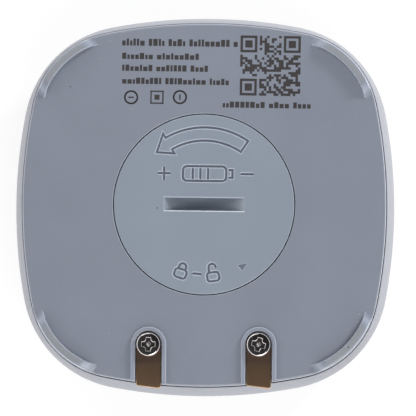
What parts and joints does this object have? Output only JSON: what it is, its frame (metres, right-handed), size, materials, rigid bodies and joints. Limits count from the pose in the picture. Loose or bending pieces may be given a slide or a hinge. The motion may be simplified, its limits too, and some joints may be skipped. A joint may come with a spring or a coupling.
{
  "type": "water leak sensor",
  "caption": "Square, round-cornered puck that senses water on a floor through probe strips on its back, with a coin-slot battery cover and corner feet.",
  "frame": {"origin": "middle of the flat front face, which the part lies on", "axes": "+Z out of the back (the side with the probes and the battery cover), +Y away from the probe strips, +X to the right in the picture"},
  "size_m": [0.055, 0.055, 0.0154],
  "materials": {
    "white_plastic": "moulded, satin gloss, off-white",
    "grey_plastic": "moulded, fine spark-eroded texture, blue grey",
    "light_grey_plastic": "moulded, satin, light blue grey",
    "rubber": "silicone rubber, matt black",
    "steel": "nickel-plated steel",
    "nickel": "nickel-plated spring sheet",
    "board": "glass laminate with green solder mask",
    "black_plastic": "moulded black plastic",
    "sleeve": "shrunk blue sleeve on an aluminium can",
    "gilt_brass": "brass with a thin gold plating, bronze in tone",
    "lens": "clear moulded plastic"
  },
  "bodies": {
    "housing": {"aerial": "gilt_brass", "back_cover": "grey_plastic", "board_screw_1": "steel", "board_screw_2": "steel", "board_screw_3": "steel", "board_screw_4": "steel", "circuit_board": "board", "coin_cell": "steel", "crystal": "steel", "front_cover": "white_plastic", "housing_seal": "rubber", "left_probe": "gilt_brass", "left_probe_insert": "gilt_brass", "left_probe_screw": "steel", "left_probe_spring": "steel", "light_pipe": "lens", "microcontroller": "black_plastic", "negative_contact": "nickel", "positive_contact": "nickel", "radio_module": "steel", "right_probe": "gilt_brass", "right_probe_insert": "gilt_brass", "right_probe_screw": "steel", "right_probe_spring": "steel", "sounder": "black_plastic", "status_lamp": "lens", "storage_capacitor": "sleeve"},
    "battery_cover": {"battery_cover": "light_grey_plastic", "battery_cover_seal": "rubber"}
  },
  "joints": [
    {"name": "battery_cover_turn", "type": "hinge", "parent": "housing", "child": "battery_cover", "pos_m": [0, 0, 0.0146], "axis": [0, 0, 1], "range_deg": [0, 40]}
  ]
}
